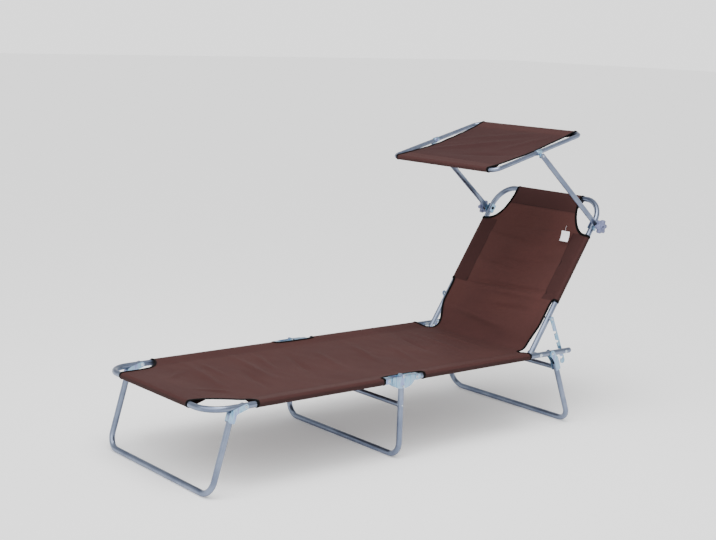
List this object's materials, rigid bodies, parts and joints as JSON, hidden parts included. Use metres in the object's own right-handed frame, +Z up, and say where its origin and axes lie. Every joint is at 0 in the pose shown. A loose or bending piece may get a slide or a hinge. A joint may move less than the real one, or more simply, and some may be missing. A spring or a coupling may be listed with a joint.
{
  "type": "folding sun lounger with canopy",
  "caption": "Folding sun lounger: cloth bed on bent tube legs, ratchet backrest, and a tilting canopy on two clamped arms.",
  "frame": {"origin": "on the floor, under the middle of the whole part", "axes": "+X towards the head end, +Y towards the sitter's right, +Z up"},
  "size_m": [1.6028, 0.5874, 0.9679],
  "materials": {
    "silver_paint": "satin silver-grey powder coat on steel tube",
    "zinc_plate": "bright zinc plate on pressed sheet steel",
    "steel_rivet": "zinc-plated steel, smooth",
    "grey_plastic": "moulded, fine matt",
    "black_plastic": "moulded, matt",
    "brown_cloth": "plain-woven coated polyester with black binding"
  },
  "bodies": {
    "seat_frame": {"seat_rail_left": "silver_paint", "seat_rail_right": "silver_paint", "hinge_plate_left": "zinc_plate", "hinge_plate_right": "zinc_plate", "hinge_plate_rivet_left": "steel_rivet", "hinge_plate_rivet_right": "steel_rivet", "foot_pivot_left": "steel_rivet", "foot_pivot_right": "steel_rivet", "middle_leg_pivot_left": "steel_rivet", "middle_leg_pivot_right": "steel_rivet", "rear_leg_pivot_left": "steel_rivet", "rear_leg_pivot_right": "steel_rivet", "back_pivot_bolt_left": "steel_rivet", "back_pivot_bolt_right": "steel_rivet", "ratchet_pin_left": "steel_rivet", "ratchet_pin_right": "steel_rivet", "seat_fabric": "brown_cloth", "crease_fabric": "brown_cloth"},
    "foot_frame": {"foot_tube": "silver_paint", "foot_hinge_eye_left": "zinc_plate", "foot_hinge_eye_right": "zinc_plate", "foot_hinge_strap_left": "zinc_plate", "foot_hinge_strap_right": "zinc_plate", "hinge_strap_rivet_left": "steel_rivet", "hinge_strap_rivet_right": "steel_rivet", "front_leg_pivot_left": "steel_rivet", "front_leg_pivot_right": "steel_rivet", "foot_fabric": "brown_cloth", "hinge_fabric": "brown_cloth"},
    "front_leg": {"front_leg_tube": "silver_paint", "front_leg_bracket_left": "zinc_plate", "front_leg_bracket_right": "zinc_plate"},
    "middle_leg": {"middle_leg_tube": "silver_paint", "middle_crossbar": "silver_paint"},
    "rear_leg": {"rear_leg_tube": "silver_paint", "rear_crossbar": "silver_paint", "rear_leg_bracket_left": "zinc_plate", "rear_leg_bracket_right": "zinc_plate"},
    "back_frame": {"back_tube": "silver_paint", "strut_bolt_left": "steel_rivet", "strut_bolt_right": "steel_rivet", "arm_clamp_left": "zinc_plate", "arm_clamp_right": "zinc_plate", "back_fabric": "brown_cloth"},
    "strut_left": {"recline_strut_left": "zinc_plate"},
    "strut_right": {"recline_strut_right": "zinc_plate"},
    "canopy_arms": {"canopy_arm_left": "silver_paint", "canopy_arm_right": "silver_paint", "arm_spacer_left": "black_plastic", "arm_spacer_right": "black_plastic", "knob_bolt_left": "steel_rivet", "knob_bolt_right": "steel_rivet"},
    "knob_left": {"star_knob_left": "grey_plastic"},
    "knob_right": {"star_knob_right": "grey_plastic"},
    "canopy_frame": {"canopy_tube": "silver_paint", "canopy_clamp_left": "zinc_plate", "canopy_clamp_right": "zinc_plate", "upper_pivot_left": "steel_rivet", "upper_pivot_right": "steel_rivet", "canopy_fabric": "brown_cloth"}
  },
  "joints": [
    {"name": "foot_fold", "type": "hinge", "parent": "seat_frame", "child": "foot_frame", "pos_m": [-0.10883, 0, 0.2595], "axis": [0, 1, 0], "range_deg": [0, 140], "deforming": ["hinge_fabric"]},
    {"name": "front_leg_fold", "type": "hinge", "parent": "foot_frame", "child": "front_leg", "pos_m": [-0.67483, 0, 0.25], "axis": [0, -1, 0], "range_deg": [0, 106]},
    {"name": "middle_leg_fold", "type": "hinge", "parent": "seat_frame", "child": "middle_leg", "pos_m": [-0.10883, 0, 0.229], "axis": [0, -1, 0], "range_deg": [0, 90]},
    {"name": "rear_leg_fold", "type": "hinge", "parent": "seat_frame", "child": "rear_leg", "pos_m": [0.53117, 0, 0.25], "axis": [0, 1, 0], "range_deg": [0, 100]},
    {"name": "back_recline", "type": "hinge", "parent": "seat_frame", "child": "back_frame", "pos_m": [0.47917, 0, 0.25], "axis": [0, 1, 0], "range_deg": [-65, 57], "deforming": ["crease_fabric"]},
    {"name": "strut_swing_left", "type": "hinge", "parent": "back_frame", "child": "strut_left", "pos_m": [0.54943, 0, 0.35819], "axis": [0, 1, 0], "range_deg": [-30, 30]},
    {"name": "strut_swing_right", "type": "hinge", "parent": "back_frame", "child": "strut_right", "pos_m": [0.54943, 0, 0.35819], "axis": [0, 1, 0], "range_deg": [-30, 30]},
    {"name": "canopy_arm_tilt", "type": "hinge", "parent": "back_frame", "child": "canopy_arms", "pos_m": [0.74168, 0, 0.65424], "axis": [0, -1, 0], "range_deg": [-150, 40]},
    {"name": "knob_turn_left", "type": "hinge", "parent": "canopy_arms", "child": "knob_left", "pos_m": [0.74168, 0, 0.65424], "axis": [0, -1, 0], "continuous": true},
    {"name": "knob_turn_right", "type": "hinge", "parent": "canopy_arms", "child": "knob_right", "pos_m": [0.74168, 0, 0.65424], "axis": [0, 1, 0], "continuous": true},
    {"name": "canopy_tilt", "type": "hinge", "parent": "canopy_arms", "child": "canopy_frame", "pos_m": [0.4663, 0, 0.89532], "axis": [0, -1, 0], "range_deg": [-60, 60]}
  ],
  "couplings": [
    {"joint": "strut_swing_left", "follows": "back_recline", "ratio": -0.4},
    {"joint": "strut_swing_right", "follows": "back_recline", "ratio": -0.4}
  ]
}
